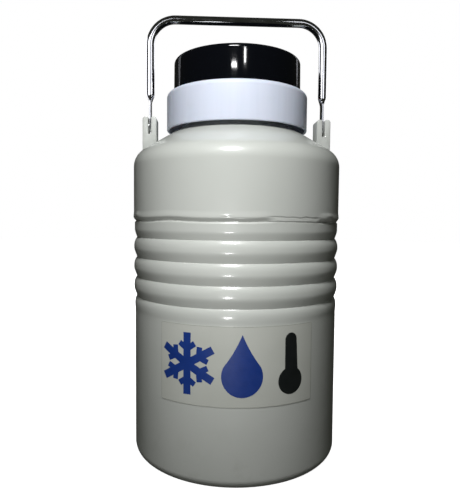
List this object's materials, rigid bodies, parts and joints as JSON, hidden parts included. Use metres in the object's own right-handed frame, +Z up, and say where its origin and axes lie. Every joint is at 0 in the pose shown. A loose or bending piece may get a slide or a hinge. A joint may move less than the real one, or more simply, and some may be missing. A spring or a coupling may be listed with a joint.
{
  "type": "liquid nitrogen dewar",
  "caption": "Cylindrical liquid nitrogen storage dewar with rolled beads, conical shoulder, plastic neck collar, lift-off lid with plug, wire bail and hook-on canisters.",
  "frame": {"origin": "centre of the base, on the surface it stands on", "axes": "+Z up along the neck, the label faces -Y, the bail swings about an axis along X"},
  "size_m": [0.2214, 0.2214, 0.4685],
  "materials": {
    "ivory_paint": "glossy warm light grey enamel",
    "label_film": "clear-backed printed film with plain pictograms",
    "aluminium": "spun, satin",
    "glass_fibre": "wound glass fibre and resin tube",
    "white_plastic": "cool white moulded plastic",
    "lug_plastic": "white moulded",
    "black_plastic": "glossy black moulded",
    "chrome": "polished wire",
    "steel": "plain stainless",
    "foil_blanket": "wrapped metallised film and glass paper",
    "cloth_pack": "woven pouch of adsorbent beads",
    "rubber": "black seal",
    "foam": "rigid foam, cream",
    "red_plastic": "moulded grip"
  },
  "bodies": {
    "vessel": {"outer_shell_upper": "ivory_paint", "outer_shell_lower": "ivory_paint", "seam_weld": "ivory_paint", "contents_label": "label_film", "neck_flange": "aluminium", "neck_tube": "glass_fibre", "index_ring": "white_plastic", "inner_vessel_lower": "aluminium", "inner_vessel_upper": "aluminium", "inner_seam_weld": "aluminium", "insulation_blanket": "foil_blanket", "adsorbent_pack": "cloth_pack", "canister_spider": "aluminium", "vacuum_port": "aluminium", "vacuum_plug": "aluminium", "vacuum_plug_seal": "rubber", "vacuum_port_cap": "white_plastic", "neck_collar": "white_plastic", "collar_screw_1": "steel", "collar_screw_2": "steel", "collar_screw_3": "steel", "handle_lug_left": "lug_plastic", "handle_lug_right": "lug_plastic", "pivot_pin_left": "steel", "pivot_pin_right": "steel"},
    "bail": {"bail_handle": "chrome"},
    "lid": {"lid_cap": "black_plastic", "lid_base_plate": "white_plastic", "neck_plug": "foam", "plug_washer": "white_plastic", "plug_bolt": "steel", "plug_nut": "steel"},
    "canister_1": {"canister_1_cup": "aluminium", "canister_1_rod": "steel", "canister_1_grip": "red_plastic"},
    "canister_2": {"canister_2_cup": "aluminium", "canister_2_rod": "steel", "canister_2_grip": "red_plastic"},
    "canister_3": {"canister_3_cup": "aluminium", "canister_3_rod": "steel", "canister_3_grip": "red_plastic"},
    "canister_4": {"canister_4_cup": "aluminium", "canister_4_rod": "steel", "canister_4_grip": "red_plastic"},
    "canister_5": {"canister_5_cup": "aluminium", "canister_5_rod": "steel", "canister_5_grip": "red_plastic"},
    "canister_6": {"canister_6_cup": "aluminium", "canister_6_rod": "steel", "canister_6_grip": "red_plastic"}
  },
  "joints": [
    {"name": "bail_swing", "type": "hinge", "parent": "vessel", "child": "bail", "pos_m": [0, 0, 0.351], "axis": [1, 0, 0], "range_deg": [-95, 95]},
    {"name": "lid_lift", "type": "slide", "parent": "vessel", "child": "lid", "axis": [0, 0, 1], "range_m": [0, 0.03]},
    {"name": "canister_1_lift", "type": "slide", "parent": "vessel", "child": "canister_1", "axis": [0, 0, 1], "range_m": [0, 0.007]},
    {"name": "canister_2_lift", "type": "slide", "parent": "vessel", "child": "canister_2", "axis": [0, 0, 1], "range_m": [0, 0.007]},
    {"name": "canister_3_lift", "type": "slide", "parent": "vessel", "child": "canister_3", "axis": [0, 0, 1], "range_m": [0, 0.007]},
    {"name": "canister_4_lift", "type": "slide", "parent": "vessel", "child": "canister_4", "axis": [0, 0, 1], "range_m": [0, 0.007]},
    {"name": "canister_5_lift", "type": "slide", "parent": "vessel", "child": "canister_5", "axis": [0, 0, 1], "range_m": [0, 0.007]},
    {"name": "canister_6_lift", "type": "slide", "parent": "vessel", "child": "canister_6", "axis": [0, 0, 1], "range_m": [0, 0.007]}
  ]
}
